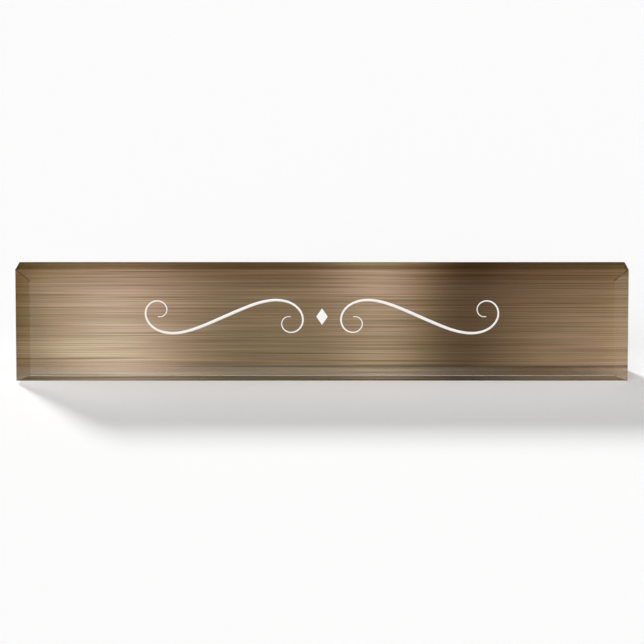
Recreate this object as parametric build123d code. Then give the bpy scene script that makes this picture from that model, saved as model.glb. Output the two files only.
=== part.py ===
from build123d import *
import os
from math import cos, radians, sin

# Desk name plate: a free-standing bar of clear acrylic whose face leans back, with a brushed-bronze
# print bonded to its flat back and seen through the block. Four clear bumper feet carry it.
#
# Frame: millimetres, +X along the plate, the face looks towards -Y, +Z up.
# The origin is at the middle of the outline, on the surface that the feet stand on.

# Driving dimensions of the clear block
block_length = 254.0
block_height = 45.2
base_depth = 21.7
face_lean = 12.5  # degrees back from upright

# Polished border of the face: bevel widths along the face, and how far the face stands in front of them
end_bevel = 6.3
top_bevel = 4.4
bottom_bevel = 2.2
bevel_depth = 3.0

# Layers bonded to the back and trimmed flush with it, from the block outwards
adhesive_thickness = 0.13
film_thickness = 0.18
backing_thickness = 0.3

# Clear bumper feet and the adhesive pads that hold them
foot_diameter = 6.4
foot_thickness = 1.0
foot_rim_radius = 0.35
pad_thickness = 0.15
foot_rear_margin = 1.6  # rim of a foot to the back edge of the base
foot_row_gap = 2.7  # rim of a front foot to the rim of the foot behind it
foot_end_margin = 12.0  # rim of a foot to the end of the block

# Places worked out from those sizes
lean = radians(face_lean)
face_length = block_height / cos(lean)
face_overhang = bevel_depth * cos(lean) - bottom_bevel * sin(lean)
overall_depth = face_overhang + base_depth + adhesive_thickness + film_thickness + backing_thickness
base_z = foot_thickness + pad_thickness
base_front_y = face_overhang - overall_depth / 2
back_y = base_front_y + base_depth


def clear_block():
    """The wedge-shaped bar, with the bevelled border of its face."""
    run_back = face_length * sin(lean)
    section = Polyline(
        (base_front_y, base_z),
        (back_y, base_z),
        (back_y, base_z + block_height),
        (base_front_y + run_back, base_z + block_height),
        close=True,
    )
    wedge = extrude(Plane.YZ * make_face(section), block_length / 2, both=True)

    # The border is a low frustum on the leaning plane, from the full outline to the flat face
    leaning = Plane((0, base_front_y, base_z), x_dir=(1, 0, 0), z_dir=(0, -cos(lean), sin(lean)))
    flat_length = face_length - top_bevel - bottom_bevel
    outline = Pos(0, face_length / 2) * Rectangle(block_length, face_length)
    flat = Pos(0, bottom_bevel + flat_length / 2, bevel_depth) * Rectangle(
        block_length - 2 * end_bevel, flat_length
    )
    border = leaning * loft([outline.face(), flat.face()], ruled=True)

    return wedge + border


def back_layer(front_y, thickness):
    """A sheet as large as the block's back, with its front at front_y."""
    sheet = Box(block_length, thickness, block_height)
    return Pos(0, front_y + thickness / 2, base_z + block_height / 2) * sheet


def foot():
    """A low round bumper standing on the origin, with a rounded lower rim."""
    disc = Pos(0, 0, foot_thickness / 2) * Cylinder(foot_diameter / 2, foot_thickness)
    return fillet(disc.edges().sort_by(Axis.Z)[0], foot_rim_radius)


def foot_pad():
    """The adhesive disc between a foot and the block."""
    return Pos(0, 0, foot_thickness + pad_thickness / 2) * Cylinder(foot_diameter / 2, pad_thickness)


film_y = back_y + adhesive_thickness
backing_y = film_y + film_thickness
parts = {
    "acrylic_block": clear_block(),
    "optical_adhesive": back_layer(back_y, adhesive_thickness),
    "printed_film": back_layer(film_y, film_thickness),
    "backing_sheet": back_layer(backing_y, backing_thickness),
}

foot_radius = foot_diameter / 2
foot_x = block_length / 2 - foot_end_margin - foot_radius
rear_foot_y = back_y - foot_rear_margin - foot_radius
foot_rows = {"front": rear_foot_y - foot_diameter - foot_row_gap, "rear": rear_foot_y}
for row, y in foot_rows.items():
    for side, x in {"left": -foot_x, "right": foot_x}.items():
        parts[f"{row}_{side}_foot"] = Pos(x, y) * foot()
        parts[f"{row}_{side}_foot_pad"] = Pos(x, y) * foot_pad()

os.makedirs("parts", exist_ok=True)
for name, shape in parts.items():
    export_step(shape, f"parts/{name}.step")
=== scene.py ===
"""Looks of a desk name plate: a clear acrylic block with a brushed-bronze print bonded to its back."""

from math import atan2, cos, pi, radians, sin

import bmesh
import bpy
from bpy.props import FloatProperty, FloatVectorProperty, PointerProperty
from mathutils import Matrix, Vector


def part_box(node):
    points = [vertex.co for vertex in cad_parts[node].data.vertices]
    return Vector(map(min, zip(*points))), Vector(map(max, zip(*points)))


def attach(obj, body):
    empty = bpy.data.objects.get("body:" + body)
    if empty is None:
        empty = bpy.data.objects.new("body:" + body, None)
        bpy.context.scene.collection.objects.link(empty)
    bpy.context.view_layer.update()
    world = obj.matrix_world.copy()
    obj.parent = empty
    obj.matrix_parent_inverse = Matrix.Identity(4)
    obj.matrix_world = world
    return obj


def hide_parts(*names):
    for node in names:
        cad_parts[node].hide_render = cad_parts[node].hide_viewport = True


bl_info = {
    "name": "Desk name plate",
    "version": (1, 0, 0),
    "blender": (4, 5, 0),
    "location": "3D View > Sidebar > Name plate",
    "description": "Dresses a desk name plate of clear acrylic and sets up its studio",
    "category": "Object",
}

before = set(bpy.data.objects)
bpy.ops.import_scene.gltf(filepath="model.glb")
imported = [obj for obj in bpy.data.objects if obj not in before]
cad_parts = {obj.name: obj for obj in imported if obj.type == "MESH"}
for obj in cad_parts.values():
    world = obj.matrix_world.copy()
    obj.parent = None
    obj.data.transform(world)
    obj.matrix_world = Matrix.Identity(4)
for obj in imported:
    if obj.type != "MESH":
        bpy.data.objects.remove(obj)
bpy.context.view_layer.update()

MILLIMETRE = 0.001
WHITE = (1.0, 1.0, 1.0, 1.0)
BLACK = (0.0, 0.0, 0.0, 1.0)
FEET = [f"{row}_{side}_foot" for row in ("front", "rear") for side in ("left", "right")]

# Broad sheen along the print: middle and width in millimetres, lightness added at the top and at the bottom
SHEEN_HUMPS = (
    (-88.0, 30.0, 0.165, 0.37),
    (26.0, 22.0, 0.195, 0.18),
    (50.0, 31.0, -0.11, -0.10),
    (135.0, 45.0, 0.0, 0.13),
    (-130.0, 9.0, 0.0, 0.05),
    (130.0, 9.0, 0.035, 0.065),
    (-16.0, 14.0, 0.013, 0.013),
)

# Pools in the sheen: middle and width in millimetres, middle and width up the print, change in lightness
SHEEN_POOLS = (
    (-122.0, 32.0, 0.17, 0.09, 0.38),
    (-116.0, 30.0, 0.45, 0.16, -0.18),
    (-100.0, 50.0, 0.02, 0.05, -0.22),
    (-55.0, 50.0, 0.56, 0.03, -0.17),
    (-50.0, 110.0, 0.79, 0.035, -0.12),
    (98.0, 25.0, 0.62, 0.28, -0.09),
    (72.0, 22.0, 0.06, 0.06, 0.13),
)

# Warmer print at the ends: how far it reaches in millimetres, and its shade
WARM_ENDS = (9.0, (1.0, 0.985, 0.84, 1.0))

# Sheen that gathers along the upper edge: middle and width in millimetres, lightness and steepness
SHEEN_CROWN = (24.0, 22.0, 0.50, 7.0)

# Brushed streaks: length and height in millimetres, share of the contrast, place in the noise
STREAKS = (
    (60.0, 0.26, 1.0, 3.1),
    (100.0, 0.8, 0.40, 17.4),
    (150.0, 3.0, 0.25, 41.9),
)

# Drift of the print's hue: length and height of its patches in millimetres, place in the noise
DRIFT = (70.0, 1.3, 63.0)

# Cells of the print's noise through its thickness, in millimetres
NOISE_DEPTH = 50.0

# Hues of the drift, as stops of a ramp
OLIVE_TO_ROSE = (
    (0.30, (0.945, 1.01, 0.965, 1.0)),
    (0.70, (1.07, 0.978, 1.085, 1.0)),
)

# Olive towards the foot of the print: strength, then the start and the reach of its fade in millimetres
OLIVE_FOOT = (0.22, 20.0, 40.0)

# Where the sheen keeps the olive off the foot of the print: middle and width in millimetres
OLIVE_GAP = (-76.0, 26.0)

# Paler part of the painted shade at the print's foot: how much, then start and reach of its fade in
# millimetres
FOOT_SHADE_FADE = (0.75, -75.0, 20.0)

# Taper of the ornament's stroke: share of its width at the ends, and how sharply it swells between them
STROKE_TAPER = (0.28, 1.5)

# Half the width and half the height of the lozenge, in millimetres
LOZENGE = (2.4, 3.6)

# Thickness of the ink, and the height of its middle over the print, as shares of the stroke
INK_THICKNESS = 0.02
INK_HEIGHT = 0.011

# The studio as gloss and shade see it: light behind the plate, light in front, how much less overhead
STUDIO_LIGHT = (0.004, 0.9, 0.7)

# White of the studio, and its strength as seen through the block
STUDIO_WHITE = (1.0, 0.995, 0.985, 1.0)
STUDIO_THROUGH = 0.72

# Glows and dark corners of the studio: azimuth from the front, elevation and spread in degrees, strength
STUDIO_GLOWS = (
    (-16.0, 9.0, 10.0, 0.3),
    (10.0, 8.0, 14.0, -0.6),
    (-62.0, 3.0, 14.0, -0.45),
    (60.0, 4.0, 14.0, 0.3),
)

# Half the width of the floor, and how far off the lamps stand, in metres
FLOOR_REACH = 8.0
LAMP_DISTANCE = 2.0

# Width of the camera's sensor in millimetres, and the nearest that it sees in metres
SENSOR_WIDTH = 36.0
CLIP_START = 0.01

# Clear acrylic: index of refraction, and the tint of light that passes straight through
ACRYLIC_IOR = 1.49
ACRYLIC_SHADOW = (0.96, 0.965, 0.965, 1.0)

# How deep the top and the ends are, which let no light straight through, in millimetres
SHADING_DEPTH = 0.05

# Where the upper bevel turns from clear to painted shade along X: start and end, in millimetres
UPPER_SHADE_FADE = (25.0, 55.0)

# Painted shade on the satin base, mixed with black: middle and width in millimetres, share of light it
# takes
BASE_PAINTED_SHADE = (94.0, 31.0, 0.40)

# Corners this close are one corner, and sides that turn less than this are one side
WELD = 0.001 * MILLIMETRE
FLAT_TURN = radians(0.5)

# Corners this near to a plane of the block lie on it
NEAR = 0.01 * MILLIMETRE

# Parts of a normal that tell a side of the block: level, turned aside, like the face, raised, lowered
LEVEL = 0.9
TURNED = 0.2
LIKE_FACE = 0.99
RAISED = 0.5
LOWERED = -0.4

# Finishes of the block's sides, several of them painted shade, in the order of its material slots
CLEAR, BEVEL, RIM, LIP, ARRIS, BASE, MITRE, UPPER = range(8)

# Axes that a tint can change along
X_AXIS, Y_AXIS = range(2)

# Inputs of the Mix node for colours
MIX_SHARE, MIX_FIRST, MIX_SECOND = 0, 6, 7


# Shader helpers


class Socket:
    """An output of a shader node. Python sums on it add Math nodes."""

    def __init__(self, shader, output):
        self.shader = shader
        self.output = output

    def out(self, name):
        """Another output of the same node."""
        return Socket(self.shader, self.output.node.outputs[name])

    def math(self, operation, *terms):
        return self.shader.node("ShaderNodeMath", {"operation": operation}, dict(enumerate(terms)))

    def __add__(self, other):
        return self.math("ADD", self, other)

    __radd__ = __add__

    def __sub__(self, other):
        return self.math("SUBTRACT", self, other)

    def __rsub__(self, other):
        return self.math("SUBTRACT", other, self)

    def __mul__(self, other):
        return self.math("MULTIPLY", self, other)

    __rmul__ = __mul__

    def __truediv__(self, other):
        return self.math("DIVIDE", self, other)

    def __pow__(self, other):
        return self.math("POWER", self, other)

    def absolute(self):
        return self.math("ABSOLUTE", self)

    def exponent(self):
        return self.math("EXPONENT", self)

    def at_least(self, low):
        return self.math("MAXIMUM", self, low)

    def at_most(self, high):
        return self.math("MINIMUM", self, high)

    def below(self, limit):
        return self.math("LESS_THAN", self, limit)


class Shader:
    """The node tree of a material or of the world."""

    def __init__(self, owner):
        owner.use_nodes = True
        self.owner = owner
        self.tree = owner.node_tree
        self.tree.nodes.clear()

    def node(self, kind, settings=None, inputs=None):
        """A new node: its settings are made first, then its sockets. Gives the first output of the node."""
        made = self.tree.nodes.new(kind)
        for name, value in (settings or {}).items():
            if name == "stops":
                self.set_stops(made.color_ramp.elements, value)
            else:
                setattr(made, name, value)
        for key, value in (inputs or {}).items():
            if isinstance(value, Socket):
                self.tree.links.new(value.output, made.inputs[key])
            else:
                made.inputs[key].default_value = value
        shown = [output for output in made.outputs if output.enabled]
        return Socket(self, shown[0]) if shown else None

    def set_stops(self, elements, stops):
        """A ramp's stops, as pairs of place and colour."""
        while len(elements) < len(stops):
            elements.new(1.0)
        for element, (place, colour) in zip(elements, stops):
            element.position = place
            element.color = colour

    def place(self):
        """Object coordinates in millimetres."""
        coordinates = self.node("ShaderNodeTexCoord").out("Object")
        return self.vector("SCALE", {0: coordinates, "Scale": 1 / MILLIMETRE})

    def vector(self, operation, inputs):
        return self.node("ShaderNodeVectorMath", {"operation": operation}, inputs)

    def split(self, vector):
        """The three values of a vector."""
        x = self.node("ShaderNodeSeparateXYZ", None, {0: vector})
        return x, x.out("Y"), x.out("Z")

    def noise(self, vector, cell, detail=2.0, shift=0.0):
        """Soft noise from 0 to 1 with cells of that size along X, Y and Z, in millimetres."""
        scale = [1 / side for side in cell]
        placed = self.node("ShaderNodeMapping", None, {0: vector, "Location": [shift] * 3, "Scale": scale})
        return self.node("ShaderNodeTexNoise", None, {"Vector": placed, "Scale": 1.0, "Detail": detail})

    def ramp(self, value, stops):
        """A colour that follows a value."""
        return self.node("ShaderNodeValToRGB", {"stops": stops}, {0: value})

    def mix(self, share, first, second, blend="MIX"):
        """Two colours mixed."""
        settings = {"data_type": "RGBA", "blend_type": blend}
        inputs = {MIX_SHARE: share, MIX_FIRST: first, MIX_SECOND: second}
        return self.node("ShaderNodeMix", settings, inputs)

    def bump(self, height, distance):
        """A normal from a height, where a height of 1 is that distance in metres."""
        return self.node("ShaderNodeBump", None, {"Height": height, "Distance": distance})

    def surface(self, shader):
        """The finished surface of the material or the world."""
        owner_kind = "World" if isinstance(self.owner, bpy.types.World) else "Material"
        self.node(f"ShaderNodeOutput{owner_kind}", None, {"Surface": shader})
        return self.owner

    def clear(self, principled, shadow_tint, passing=1.0):
        """A clear shader that lets shadow rays and soft light straight through, where passing is 1."""
        light = self.node("ShaderNodeLightPath")
        soft = light.out("Is Shadow Ray").at_least(light.out("Is Diffuse Ray")) * passing
        open_air = self.node("ShaderNodeBsdfTransparent", None, {"Color": shadow_tint})
        return self.node("ShaderNodeMixShader", None, {0: soft, 1: principled, 2: open_air})


def bell(value, middle, width):
    """A soft hump of height 1."""
    off = (value - middle) / width
    return (0.0 - off * off).exponent()


def fading(value, start, reach):
    """1 up to the start, then a soft fall towards 0."""
    return ((start - value) / reach).exponent().at_most(1.0)


def new_shader(name):
    """The empty node tree of a new material."""
    return Shader(bpy.data.materials.new(name))


# Piece helpers


def dress(node_name, material):
    """Gives a CAD node its finished material."""
    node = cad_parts[node_name]
    node.data.materials.clear()
    node.data.materials.append(material)


def add_piece(name, mesh, *materials):
    """Links a finished mesh into the scene as a piece that rides on the plate."""
    for material in materials:
        mesh.materials.append(material)
    piece = bpy.data.objects.new(name, mesh)
    bpy.context.scene.collection.objects.link(piece)
    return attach(piece, "root")


def print_front():
    """Where the face of the print lies along Y."""
    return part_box("printed_film")[0].y


# Settings


class BlockSettings(bpy.types.PropertyGroup):
    edge_round: FloatProperty(
        name="Edge round",
        description="Reach of the polished round to each side of an edge of the block",
        default=0.06 * MILLIMETRE,
        unit="LENGTH",
    )
    print_sink: FloatProperty(
        name="Print sink",
        description="How far the print sits inside the clear bond, so that no air shows between them",
        default=0.03 * MILLIMETRE,
        unit="LENGTH",
    )
    foot_gap: FloatProperty(
        name="Gap over the pads",
        description="Air under the block, which keeps its base a clean mirror",
        default=0.02 * MILLIMETRE,
        unit="LENGTH",
    )
    tint: FloatVectorProperty(
        name="Tint",
        description="Colour of the clear acrylic",
        default=(0.985, 0.99, 0.985, 1.0),
        subtype="COLOR",
        size=4,
    )
    # Painted shade: darkens and browns the print seen through the left end bevel and the right of the upper
    # bevel
    bevel_painted_shade: FloatVectorProperty(
        name="Bevel tint",
        description="Colour of the acrylic seen through its cut bevels",
        default=(0.76, 0.71, 0.64, 1.0),
        subtype="COLOR",
        size=4,
    )
    # Painted shade: darkens and browns the print seen through the top of the block, most along its front
    # edge
    rim_painted_shade: FloatVectorProperty(
        name="Rim tint",
        description="Colour of the acrylic seen through its top, along the front edge",
        default=(0.45, 0.35, 0.25, 1.0),
        subtype="COLOR",
        size=4,
    )
    # Painted shade along the back of the top of the block, lighter than along its front edge
    rear_rim_painted_shade: FloatVectorProperty(
        name="Rear rim tint",
        description="Colour of the acrylic seen through its top, along the back",
        default=(0.72, 0.67, 0.46, 1.0),
        subtype="COLOR",
        size=4,
    )
    # Painted shade: greys and darkens the lower bevel, in place of the shaded floor that it would mirror
    lip_painted_shade: FloatVectorProperty(
        name="Lip tint",
        description="Colour of the acrylic seen through its lower bevel",
        default=(0.25, 0.25, 0.24, 1.0),
        subtype="COLOR",
        size=4,
    )
    lip_rise: FloatProperty(
        name="Lip rise",
        description="How much further up the face the lower bevel is polished",
        default=0.21 * MILLIMETRE,
        unit="LENGTH",
    )
    arris: FloatProperty(
        name="Ground arris",
        description="Reach of the ground edge to each side of the line over the lower bevel",
        default=0.12 * MILLIMETRE,
        unit="LENGTH",
    )
    arris_tint: FloatVectorProperty(
        name="Arris tint",
        description="Colour of the ground edge",
        default=(0.85, 0.82, 0.77, 1.0),
        subtype="COLOR",
        size=4,
    )
    base_tint: FloatVectorProperty(
        name="Base tint",
        description="Colour of the satin base",
        default=(0.75, 0.75, 0.73, 1.0),
        subtype="COLOR",
        size=4,
    )
    mitre: FloatProperty(
        name="Ground mitre",
        description="Reach of the ground edge to each side of where the upper bevel meets an end bevel",
        default=0.3 * MILLIMETRE,
        unit="LENGTH",
    )
    # Painted shade: dark brown lines where the upper bevel meets an end bevel
    mitre_painted_shade: FloatVectorProperty(
        name="Mitre tint",
        description="Colour of the acrylic seen through its ground mitres",
        default=(0.30, 0.25, 0.19, 1.0),
        subtype="COLOR",
        size=4,
    )


class PrintSettings(bpy.types.PropertyGroup):
    lightness: FloatProperty(
        name="Lightness",
        description="Lightness of the print between its humps of sheen",
        default=0.145,
    )
    contrast: FloatProperty(
        name="Streak contrast",
        description="How strongly the brushed streaks lighten and darken the print",
        default=1.85,
    )
    umber: FloatVectorProperty(
        name="Umber",
        description="Colour of the darkest streaks",
        default=(0.026, 0.0146, 0.0065, 1.0),
        subtype="COLOR",
        size=4,
    )
    shadow: FloatVectorProperty(
        name="Dark bronze",
        description="Colour of the dark print",
        default=(0.0757, 0.0421, 0.0185, 1.0),
        subtype="COLOR",
        size=4,
    )
    bronze: FloatVectorProperty(
        name="Bronze",
        description="Main colour of the print",
        default=(0.205, 0.135, 0.0697, 1.0),
        subtype="COLOR",
        size=4,
    )
    tan: FloatVectorProperty(
        name="Tan",
        description="Colour of the print in its sheen",
        default=(0.384, 0.262, 0.167, 1.0),
        subtype="COLOR",
        size=4,
    )
    beige: FloatVectorProperty(
        name="Beige",
        description="Colour of the print at the height of its sheen",
        default=(0.484, 0.364, 0.241, 1.0),
        subtype="COLOR",
        size=4,
    )
    glint: FloatVectorProperty(
        name="Glint",
        description="Colour of the lightest streaks",
        default=(0.62, 0.495, 0.344, 1.0),
        subtype="COLOR",
        size=4,
    )
    # Painted shade: the height of a dark line along the lower edge of the print
    foot_shade_height: FloatProperty(
        name="Cut edge",
        description="Height of the dark line that the cut leaves along the lower edge",
        default=0.9 * MILLIMETRE,
        unit="LENGTH",
    )
    # Painted shade: the shade of that dark line along the lower edge of the print
    foot_shade_colour: FloatVectorProperty(
        name="Cut colour",
        description="Shade that the cut leaves on the print",
        default=(0.36, 0.33, 0.30, 1.0),
        subtype="COLOR",
        size=4,
    )


class OrnamentSettings(bpy.types.PropertyGroup):
    inner: FloatProperty(
        name="Inner end",
        description="Where a scroll begins, from the middle of the plate",
        default=8.0 * MILLIMETRE,
        unit="LENGTH",
    )
    outer: FloatProperty(
        name="Outer end",
        description="Where a scroll ends, from the middle of the plate",
        default=74.0 * MILLIMETRE,
        unit="LENGTH",
    )
    height: FloatProperty(
        name="Height",
        description="Middle of the ornament above the desk",
        default=23.0 * MILLIMETRE,
        unit="LENGTH",
    )
    stroke: FloatProperty(
        name="Stroke",
        description="Width of the broadest stroke",
        default=1.5 * MILLIMETRE,
        unit="LENGTH",
    )
    ink: FloatVectorProperty(
        name="Ink",
        description="Colour of the white ink",
        default=(0.93, 0.92, 0.90, 1.0),
        subtype="COLOR",
        size=4,
    )


class StageSettings(bpy.types.PropertyGroup):
    floor_colour: FloatVectorProperty(
        name="Floor",
        description="Colour of the floor",
        default=(0.88, 0.88, 0.88, 1.0),
        subtype="COLOR",
        size=4,
    )
    floor_glow: FloatProperty(
        name="Floor glow",
        description="Added to the floor as the camera sees it, so that it shows white",
        default=0.19,
    )
    view_elevation: FloatProperty(
        name="View elevation",
        description="Angle of the camera above the desk",
        default=radians(16.3),
        subtype="ANGLE",
        unit="ROTATION",
    )
    view_distance: FloatProperty(
        name="View distance",
        description="From the camera to the point that it looks at",
        default=0.8135,
        unit="LENGTH",
    )
    aim_height: FloatProperty(
        name="Aim height",
        description="Point that the camera looks at, above the base of the block",
        default=25.45 * MILLIMETRE,
        unit="LENGTH",
    )
    lens: FloatProperty(
        name="Lens",
        description="Focal length in millimetres on a 36 mm sensor",
        default=110.4,
        unit="CAMERA",
    )
    key_azimuth: FloatProperty(
        name="Key azimuth",
        description="Direction of the key light round the plate, from straight in front",
        default=radians(-150.0),
        subtype="ANGLE",
        unit="ROTATION",
    )
    key_elevation: FloatProperty(
        name="Key elevation",
        description="Height of the key light above the desk",
        default=radians(28.0),
        subtype="ANGLE",
        unit="ROTATION",
    )
    key_spread: FloatProperty(
        name="Key spread",
        description="Apparent width of the key light, which softens the shadow",
        default=radians(12.0),
        subtype="ANGLE",
        unit="ROTATION",
    )
    key_strength: FloatProperty(
        name="Key strength",
        description="Light of the key on a surface that faces it, where 1 shows white as white",
        default=1.0,
    )
    fill_azimuth: FloatProperty(
        name="Fill azimuth",
        description="Direction of the fill light round the plate, from straight in front",
        default=radians(-15.0),
        subtype="ANGLE",
        unit="ROTATION",
    )
    fill_elevation: FloatProperty(
        name="Fill elevation",
        description="Height of the fill light above the desk",
        default=radians(22.0),
        subtype="ANGLE",
        unit="ROTATION",
    )
    fill_spread: FloatProperty(
        name="Fill spread",
        description="Apparent width of the fill light",
        default=radians(60.0),
        subtype="ANGLE",
        unit="ROTATION",
    )
    fill_strength: FloatProperty(
        name="Fill strength",
        description="Light of the fill on a surface that faces it, where 1 shows white as white",
        default=0.73,
    )


class NamePlateSettings(bpy.types.PropertyGroup):
    block: PointerProperty(type=BlockSettings, name="Block", description="The clear block")
    film: PointerProperty(type=PrintSettings, name="Print", description="The brushed-bronze print")
    ornament: PointerProperty(type=OrnamentSettings, name="Ornament", description="The white ornament")
    stage: PointerProperty(type=StageSettings, name="Stage", description="Floor, light and camera")


# Clear block


def round_edges(shape, edges, offset, segments):
    """Rounds edges of a shape and gives the new faces."""
    return bmesh.ops.bevel(
        shape,
        geom=edges,
        offset=offset,
        affect="EDGES",
        segments=segments,
        profile=0.5,
        material=-1,
    )["faces"]


def finish_of(normal, front):
    """The finish of a side of the block that looks along normal, where its face looks along front."""
    # The rim, left bevel, upper bevel and lip finishes carry painted shade
    if normal.z > LEVEL:
        return RIM
    if normal.z < -LEVEL:
        return BASE
    if normal.y > -TURNED or normal.x > TURNED or normal.dot(front) > LIKE_FACE:
        return CLEAR
    if normal.z > RAISED:
        return UPPER
    return LIP if normal.z < LOWERED else BEVEL


def is_mitre(edge):
    """Whether the upper bevel of the face meets an end bevel at this edge."""
    upper, end = sorted((side.normal for side in edge.link_faces), key=lambda normal: abs(normal.x))
    return upper.z > RAISED and min(-upper.y, -end.y, abs(end.x)) > TURNED


def block_mesh(settings):
    """The block with rounded edges, its back carried through the bond to the print."""
    shape = bmesh.new()
    shape.from_mesh(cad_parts["acrylic_block"].data)
    bmesh.ops.remove_doubles(shape, verts=shape.verts, dist=WELD)
    bmesh.ops.dissolve_limit(shape, angle_limit=FLAT_TURN, verts=shape.verts, edges=shape.edges)
    low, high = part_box("acrylic_block")
    rear = [vert for vert in shape.verts if vert.co.y > high.y - NEAR]
    base = [vert for vert in shape.verts if vert.co.z < low.z + NEAR]
    bmesh.ops.translate(shape, verts=rear, vec=(0, print_front() + settings.print_sink - high.y, 0))
    bmesh.ops.translate(shape, verts=base, vec=(0, 0, settings.foot_gap))
    shape.normal_update()
    face = max(shape.faces, key=lambda side: -side.normal.y * side.calc_area())
    front = face.normal.copy()
    foot = min(vert.co.z for vert in face.verts) + NEAR
    arris = [edge for edge in face.edges if all(vert.co.z < foot for vert in edge.verts)]
    up_face = Vector((0.0, front.z, -front.y))
    bmesh.ops.translate(shape, verts=arris[0].verts, vec=up_face * settings.lip_rise)
    mitres = [edge for edge in shape.edges if is_mitre(edge)]
    for side in round_edges(shape, arris, settings.arris, segments=1):
        side.material_index = ARRIS
    for side in round_edges(shape, mitres, settings.mitre, segments=1):
        side.material_index = MITRE
    polished = [edge for edge in shape.edges if not all(vert in rear for vert in edge.verts)]
    round_edges(shape, polished, settings.edge_round, segments=3)
    shape.normal_update()
    for side in shape.faces:
        if side.material_index not in (ARRIS, MITRE):
            side.material_index = finish_of(side.normal, front)
    mesh = bpy.data.meshes.new("polished_block")
    shape.to_mesh(mesh)
    shape.free()
    return mesh


def block_depths(height):
    """Where the block's corners at that height lie along Y."""
    corners = [corner.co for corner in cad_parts["acrylic_block"].data.vertices]
    return [corner.y for corner in corners if abs(corner.z - height) < NEAR]


def rim_span():
    """Where the top of the block begins and ends along Y, in millimetres."""
    depths = block_depths(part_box("acrylic_block")[1].z)
    return min(depths) / MILLIMETRE, max(depths) / MILLIMETRE


def acrylic_material(name, tint, clearness=1.0, gloss=1.0, fade=None, painted_shade=None):
    """Polished clear acrylic with faint wiping marks. A ground or satin side is less clear.

    fade is an axis, where along it the tint begins and ends to change, and the painted shade beyond.
    The patch of painted shade, if given, is its middle and width along X, and the share of light that it
    takes.
    The tint is the acrylic's own colour on the clear sides, and painted shade on most of the others.
    """
    shader = new_shader(name)
    place = shader.place()
    wiped = shader.noise(place, (38.0, 14.0, 9.0), detail=4.0)
    marks = shader.noise(place, (9.0, 2.0, 0.25), detail=3.0)
    haze = (wiped - 0.5).at_least(0.0) * marks
    x, y, z = shader.split(place)
    if fade:
        axis, start, end, far_painted_shade = fade
        tint = shader.mix(((x, y, z)[axis] - start) / (end - start), tint, far_painted_shade)
    inputs = {
        "Base Color": tint,
        "Roughness": 0.002 + 0.02 * haze,
        "IOR": ACRYLIC_IOR,
        "Transmission Weight": clearness,
        "Specular Tint": (gloss, gloss, gloss, 1.0),
    }
    acrylic = shader.node("ShaderNodeBsdfPrincipled", None, inputs)
    # Painted shade: a patch of the base mixed with black, so that the band it mirrors above the base shows
    # dark
    if painted_shade:
        middle, width, share = painted_shade
        polish = shader.node("ShaderNodeBsdfPrincipled", None, {**inputs, "Transmission Weight": 1.0})
        dark = shader.node("ShaderNodeBsdfDiffuse", None, {"Color": BLACK})
        painted_shade_mix = shader.node("ShaderNodeMixShader", None, {0: share, 1: polish, 2: dark})
        reach = bell(x, middle, width)
        acrylic = shader.node("ShaderNodeMixShader", None, {0: reach, 1: acrylic, 2: painted_shade_mix})
    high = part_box("acrylic_block")[1] / MILLIMETRE
    below_top = z.below(high.z - SHADING_DEPTH)
    within_ends = x.absolute().below(high.x - SHADING_DEPTH)
    return shader.surface(shader.clear(acrylic, ACRYLIC_SHADOW, below_top * within_ends))


class NAMEPLATE_OT_clear_block(bpy.types.Operator):
    """Make the polished clear block"""

    bl_idname = "name_plate.clear_block"
    bl_label = "Clear block"

    def execute(self, context):
        settings = context.scene.name_plate.block
        rim_fade = (Y_AXIS, *rim_span(), settings.rear_rim_painted_shade)
        upper_fade = (X_AXIS, *UPPER_SHADE_FADE, settings.bevel_painted_shade)
        # Painted shade: the bevel, rim, lip, mitre and upper bevel finishes, and a dark patch on the base
        finishes = (
            acrylic_material("clear_acrylic", settings.tint),
            acrylic_material("bevelled_acrylic", settings.bevel_painted_shade),
            acrylic_material("rim_acrylic", settings.rim_painted_shade, fade=rim_fade),
            acrylic_material("lip_acrylic", settings.lip_painted_shade, gloss=0.0),
            acrylic_material("ground_arris", settings.arris_tint, clearness=0.45),
            acrylic_material("satin_base", settings.base_tint, clearness=0.8, painted_shade=BASE_PAINTED_SHADE),
            acrylic_material("painted_shade_mitre", settings.mitre_painted_shade),
            acrylic_material("upper_bevel", settings.tint, fade=upper_fade),
        )
        block = add_piece("polished_block", block_mesh(settings), *finishes)
        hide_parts("acrylic_block", "optical_adhesive")
        return {"FINISHED"}


# Bronze print


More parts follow.
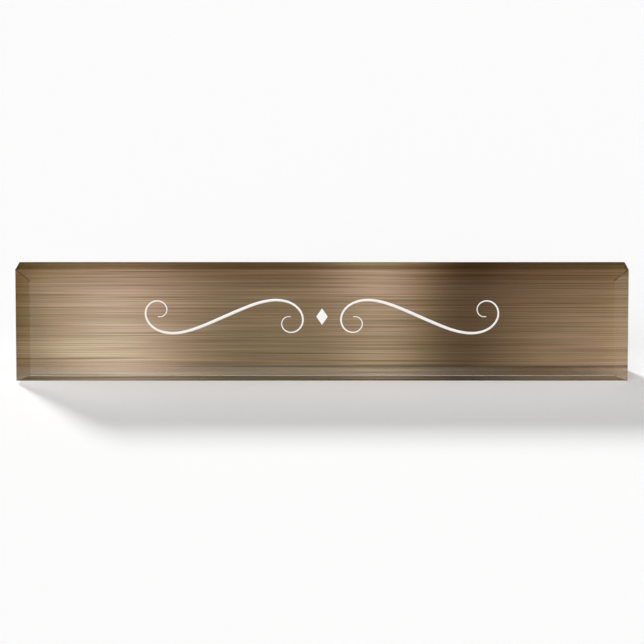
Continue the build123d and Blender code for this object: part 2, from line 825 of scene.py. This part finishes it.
def print_material(settings):
    """Brushed bronze, printed: long fine streaks over a broad sheen, with a drift from olive to rose."""
    shader = new_shader("brushed_bronze_print")
    place = shader.place()
    x, _, z = shader.split(place)
    corners = [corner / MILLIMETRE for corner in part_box("printed_film")]
    low, high = (corner.z for corner in corners)
    rise = (z - low) / (high - low)

    lightness = settings.lightness
    for middle, width, top, bottom in SHEEN_HUMPS:
        lightness = lightness + bell(x, middle, width) * (bottom + (top - bottom) * rise)
    middle, width, crown, steepness = SHEEN_CROWN
    lightness = lightness + crown * bell(x, middle, width) * rise ** steepness
    for middle, width, level, spread, share in SHEEN_POOLS:
        lightness = lightness * (1.0 + share * bell(x, middle, width) * bell(rise, level, spread))

    streak = 0.0
    for length, height, share, shift in STREAKS:
        streak = streak + share * (shader.noise(place, (length, NOISE_DEPTH, height), shift=shift) - 0.5)
    tone = lightness * (1.0 + settings.contrast * streak)

    stops = (
        (0.02, settings.umber),
        (0.06, settings.shadow),
        (0.17, settings.bronze),
        (0.33, settings.tan),
        (0.45, settings.beige),
        (0.62, settings.glint),
    )
    colour = shader.ramp(tone, stops)
    reach, warmth = WARM_ENDS
    end = ((x.absolute() - corners[1].x) / reach).exponent()
    colour = shader.mix(end, colour, warmth, "MULTIPLY")
    length, height, shift = DRIFT
    drift = shader.noise(place, (length, NOISE_DEPTH, height), detail=3.0, shift=shift)
    strength, start, reach = OLIVE_FOOT
    olive = strength * fading(x, start, reach) * (1.0 - rise)
    olive = olive * (1.0 - bell(x, *OLIVE_GAP))
    hue = shader.ramp(drift - olive, OLIVE_TO_ROSE)
    # Painted shade: a dark line along the lower edge of the print, paler towards the left end
    paleness, start, reach = FOOT_SHADE_FADE
    cut = (z - low) / (settings.foot_shade_height / MILLIMETRE) + paleness * fading(x, start, reach)
    shade = shader.mix(cut.at_most(1.0), settings.foot_shade_colour, WHITE)
    foot_shaded = shader.mix(1.0, colour, shade, "MULTIPLY")
    inputs = {
        "Base Color": shader.mix(1.0, foot_shaded, hue, "MULTIPLY"),
        "Roughness": 0.55,
        "Specular IOR Level": 0.0,
    }
    return shader.surface(shader.node("ShaderNodeBsdfPrincipled", None, inputs))


class NAMEPLATE_OT_bronze_print(bpy.types.Operator):
    """Give the print its brushed bronze"""

    bl_idname = "name_plate.bronze_print"
    bl_label = "Bronze print"

    def execute(self, context):
        dress("printed_film", print_material(context.scene.name_plate.film))
        return {"FINISHED"}


# White ornament


def scroll_line(turn=7.0, power=3.0, count=48):
    """A lying S-scroll about the origin: its line turns ever tighter towards both ends."""
    half = [Vector((0.0, 0.0, 0.0))]
    for step in range(count):
        angle = turn * ((step + 0.5) / count) ** power
        half.append(half[-1] + Vector((cos(angle), 0.0, sin(angle))) / count)
    level = Matrix.Rotation(atan2(half[-1].z, half[-1].x), 3, "Y")
    line = [-point for point in reversed(half[1:])] + half
    return [level @ point for point in line]


def stroke_curve(points, widths):
    """A smooth curve through points, with a stroke of those widths."""
    curve = bpy.data.curves.new("stroke", "CURVE")
    curve.dimensions = "3D"
    curve.bevel_depth = 0.5
    curve.bevel_resolution = 1
    curve.use_fill_caps = True
    spline = curve.splines.new("NURBS")
    spline.points.add(len(points) - 1)
    for knot, point, width in zip(spline.points, points, widths):
        knot.co = (*point, 1.0)
        knot.radius = width
    spline.order_u = 3
    spline.use_endpoint_u = True
    return curve


def curve_mesh(curve):
    """The mesh of a curve's solid stroke."""
    holder = bpy.data.objects.new("stroke", curve)
    bpy.context.scene.collection.objects.link(holder)
    bpy.context.view_layer.update()
    mesh = bpy.data.meshes.new_from_object(holder.evaluated_get(bpy.context.evaluated_depsgraph_get()))
    bpy.data.objects.remove(holder)
    bpy.data.curves.remove(curve)
    return mesh


def ornament_mesh(settings):
    """Two mirrored scrolls and a lozenge, as thin ink on the face of the print."""
    line = scroll_line()
    left = min(point.x for point in line)
    right = max(point.x for point in line)
    size = (settings.outer - settings.inner) / (right - left)
    points = [Vector((settings.inner + (point.x - left) * size, 0.0, point.z * size)) for point in line]
    last = len(points) - 1
    thin, swell = STROKE_TAPER
    widths = []
    for index in range(len(points)):
        along = 2 * index / last - 1
        widths.append(settings.stroke * (thin + (1 - thin) * (1 - along * along) ** swell))
    mesh = curve_mesh(stroke_curve(points, widths))

    shape = bmesh.new()
    shape.from_mesh(mesh)
    bpy.data.meshes.remove(mesh)
    bmesh.ops.mirror(shape, geom=shape.verts[:] + shape.edges[:] + shape.faces[:], axis="X", merge_dist=0.0)
    bmesh.ops.remove_doubles(shape, verts=shape.verts, dist=WELD)
    lozenge = bmesh.ops.create_cone(
        shape, cap_ends=True, segments=4, radius1=1.0, radius2=1.0, depth=settings.stroke
    )["verts"]
    bmesh.ops.rotate(shape, verts=lozenge, matrix=Matrix.Rotation(pi / 2, 3, "X"))
    half_width, half_height = LOZENGE
    bmesh.ops.scale(shape, verts=lozenge, vec=(half_width * MILLIMETRE, 1.0, half_height * MILLIMETRE))
    bmesh.ops.recalc_face_normals(shape, faces=shape.faces)
    bmesh.ops.scale(shape, verts=shape.verts, vec=(1.0, INK_THICKNESS, 1.0))
    lift = settings.stroke * INK_HEIGHT
    bmesh.ops.translate(shape, verts=shape.verts, vec=(0.0, print_front() - lift, settings.height))
    finished = bpy.data.meshes.new("white_scrolls")
    shape.to_mesh(finished)
    shape.free()
    return finished


def ink_material(settings):
    """Dense white ink with a faint print grain."""
    shader = new_shader("white_ink")
    place = shader.place()
    grain = shader.noise(place, (0.35, 0.35, 0.35), detail=3.0)
    inputs = {
        "Base Color": shader.mix(0.10 * grain, settings.ink, (0.70, 0.66, 0.60, 1.0)),
        "Roughness": 0.5 + 0.1 * grain,
        "Specular IOR Level": 0.0,
    }
    return shader.surface(shader.node("ShaderNodeBsdfPrincipled", None, inputs))


class NAMEPLATE_OT_white_ornament(bpy.types.Operator):
    """Make the white scrolls on the print"""

    bl_idname = "name_plate.white_ornament"
    bl_label = "White ornament"

    def execute(self, context):
        settings = context.scene.name_plate.ornament
        add_piece("white_scrolls", ornament_mesh(settings), ink_material(settings))
        return {"FINISHED"}


# Backing sheet


def backing_material():
    """Matt white vinyl with a fine grain, soft waves and faint clouds."""
    shader = new_shader("white_vinyl")
    place = shader.place()
    grain = shader.noise(place, (0.5, 0.5, 0.5), detail=4.0)
    waves = shader.noise(place, (14.0, 14.0, 9.0))
    cloud = shader.noise(place, (45.0, 45.0, 20.0), detail=3.0)
    colour = shader.ramp(cloud, ((0.3, (0.76, 0.755, 0.74, 1.0)), (0.7, (0.82, 0.818, 0.81, 1.0))))
    inputs = {
        "Base Color": colour,
        "Roughness": 0.48 + 0.14 * grain,
        "Normal": shader.bump(grain * 0.35 + waves, 0.05 * MILLIMETRE),
    }
    return shader.surface(shader.node("ShaderNodeBsdfPrincipled", None, inputs))


class NAMEPLATE_OT_backing_sheet(bpy.types.Operator):
    """Give the backing sheet its white vinyl"""

    bl_idname = "name_plate.backing_sheet"
    bl_label = "Backing sheet"

    def execute(self, context):
        dress("backing_sheet", backing_material())
        return {"FINISHED"}


# Bumper feet


def bumper_material():
    """Clear soft polyurethane, slightly misty."""
    shader = new_shader("clear_bumper")
    place = shader.place()
    mist = shader.noise(place, (0.8, 0.8, 0.4), detail=3.0)
    inputs = {
        "Base Color": (0.90, 0.92, 0.92, 1.0),
        "Roughness": 0.10 + 0.12 * mist,
        "IOR": 1.48,
        "Transmission Weight": 1.0,
    }
    bumper = shader.node("ShaderNodeBsdfPrincipled", None, inputs)
    return shader.surface(shader.clear(bumper, (0.75, 0.77, 0.77, 1.0)))


def pad_material():
    """Milky adhesive."""
    shader = new_shader("adhesive_pad")
    place = shader.place()
    cloud = shader.noise(place, (0.7, 0.7, 0.7), detail=3.0)
    inputs = {
        "Base Color": shader.ramp(cloud, ((0.3, (0.66, 0.66, 0.63, 1.0)), (0.7, (0.76, 0.76, 0.73, 1.0)))),
        "Roughness": 0.45 + 0.2 * cloud,
    }
    return shader.surface(shader.node("ShaderNodeBsdfPrincipled", None, inputs))


class NAMEPLATE_OT_bumper_feet(bpy.types.Operator):
    """Give the bumper feet and their pads their finishes"""

    bl_idname = "name_plate.bumper_feet"
    bl_label = "Bumper feet"

    def execute(self, context):
        bumper = bumper_material()
        pad = pad_material()
        for foot in FEET:
            dress(foot, bumper)
            dress(f"{foot}_pad", pad)
        return {"FINISHED"}


# Stage


def direction(azimuth, elevation):
    """A direction from the plate: azimuth from straight in front to the right, elevation above the desk."""
    return Vector((sin(azimuth) * cos(elevation), -cos(azimuth) * cos(elevation), sin(elevation)))


def add_floor(settings):
    """A wide pale floor."""
    shape = bmesh.new()
    bmesh.ops.create_grid(shape, x_segments=1, y_segments=1, size=FLOOR_REACH)
    mesh = bpy.data.meshes.new("floor")
    shape.to_mesh(mesh)
    shape.free()
    shader = new_shader("pale_floor")
    light = shader.node("ShaderNodeLightPath")
    seen = light.out("Is Camera Ray")
    for ray in ("Is Glossy Ray", "Is Transmission Ray"):
        seen = seen.at_least(light.out(ray))
    inputs = {
        "Base Color": settings.floor_colour,
        "Roughness": 0.9,
        "Specular IOR Level": 0.0,
        "Emission Color": shader.mix(seen, BLACK, WHITE),
        "Emission Strength": settings.floor_glow,
    }
    mesh.materials.append(shader.surface(shader.node("ShaderNodeBsdfPrincipled", None, inputs)))
    floor = bpy.data.objects.new("floor", mesh)
    bpy.context.scene.collection.objects.link(floor)


def add_world():
    """White to the camera, a little less through the block. Gloss and shade see a dim room with glows."""
    world = bpy.data.worlds.new("studio")
    bpy.context.scene.world = world
    shader = Shader(world)
    ray = shader.node("ShaderNodeTexCoord").out("Generated")
    _, depth, up = shader.split(ray)
    facing = 0.5 - 0.5 * depth
    rise = up.at_least(0.0)
    behind, front, loss = STUDIO_LIGHT
    room = behind + facing * facing * (front - loss * rise)
    for azimuth, elevation, spread, glow in STUDIO_GLOWS:
        middle = direction(radians(azimuth), radians(elevation))
        near = shader.vector("DOT_PRODUCT", {0: ray, 1: middle})
        room = room + glow * ((near - 1.0) / (1.0 - cos(radians(spread)))).exponent()
    light = shader.node("ShaderNodeLightPath")
    seen = light.out("Is Camera Ray")
    through = light.out("Is Transmission Ray")
    strength = room.at_least(0.0) * (1.0 - seen - through) + seen + STUDIO_THROUGH * through
    inputs = {"Color": STUDIO_WHITE, "Strength": strength}
    shader.surface(shader.node("ShaderNodeBackground", None, inputs))


def add_lamp(name, azimuth, elevation, spread, strength):
    """A broad distant lamp. At strength 1 it shows white as white on a surface that faces it."""
    lamp = bpy.data.lights.new(name, "SUN")
    lamp.energy = strength * pi
    lamp.angle = spread
    holder = bpy.data.objects.new(name, lamp)
    holder.visible_glossy = False
    bpy.context.scene.collection.objects.link(holder)
    towards = direction(azimuth, elevation)
    holder.location = towards * LAMP_DISTANCE
    holder.rotation_euler = towards.to_track_quat("Z", "Y").to_euler()


def add_camera(settings):
    """A camera in front of the plate, aimed over the front edge of its base."""
    low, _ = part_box("acrylic_block")
    aim = Vector((0.0, min(block_depths(low.z)), low.z + settings.aim_height))
    back = direction(0.0, settings.view_elevation)
    optics = bpy.data.cameras.new("camera")
    optics.lens = settings.lens
    optics.sensor_width = SENSOR_WIDTH
    optics.clip_start = CLIP_START
    camera = bpy.data.objects.new("camera", optics)
    camera.location = aim + back * settings.view_distance
    camera.rotation_euler = (-back).to_track_quat("-Z", "Y").to_euler()
    bpy.context.scene.collection.objects.link(camera)
    bpy.context.scene.camera = camera


class NAMEPLATE_OT_stage(bpy.types.Operator):
    """Set the floor, the light and the camera"""

    bl_idname = "name_plate.stage"
    bl_label = "Stage"

    def execute(self, context):
        settings = context.scene.name_plate.stage
        context.scene.view_settings.view_transform = "Standard"
        add_floor(settings)
        add_world()
        add_lamp(
            "key",
            settings.key_azimuth,
            settings.key_elevation,
            settings.key_spread,
            settings.key_strength,
        )
        add_lamp(
            "fill",
            settings.fill_azimuth,
            settings.fill_elevation,
            settings.fill_spread,
            settings.fill_strength,
        )
        add_camera(settings)
        return {"FINISHED"}


class NAMEPLATE_PT_sidebar(bpy.types.Panel):
    """The steps that dress the name plate"""

    bl_idname = "NAMEPLATE_PT_sidebar"
    bl_label = "Name plate"
    bl_space_type = "VIEW_3D"
    bl_region_type = "UI"
    bl_category = "Name plate"

    def draw(self, context):
        for operator in OPERATORS:
            self.layout.operator(operator.bl_idname)


OPERATORS = (
    NAMEPLATE_OT_clear_block,
    NAMEPLATE_OT_bronze_print,
    NAMEPLATE_OT_white_ornament,
    NAMEPLATE_OT_backing_sheet,
    NAMEPLATE_OT_bumper_feet,
    NAMEPLATE_OT_stage,
)
CLASSES = (
    BlockSettings,
    PrintSettings,
    OrnamentSettings,
    StageSettings,
    NamePlateSettings,
    *OPERATORS,
    NAMEPLATE_PT_sidebar,
)


def register():
    for item in CLASSES:
        bpy.utils.register_class(item)
    bpy.types.Scene.name_plate = PointerProperty(
        type=NamePlateSettings, name="Name plate", description="Sizes and colours of the name plate"
    )


def unregister():
    del bpy.types.Scene.name_plate
    for item in reversed(CLASSES):
        bpy.utils.unregister_class(item)


def main():
    register()
    bpy.ops.name_plate.clear_block()
    bpy.ops.name_plate.bronze_print()
    bpy.ops.name_plate.white_ornament()
    bpy.ops.name_plate.backing_sheet()
    bpy.ops.name_plate.bumper_feet()
    bpy.ops.name_plate.stage()


if __name__ == "__main__":
    main()
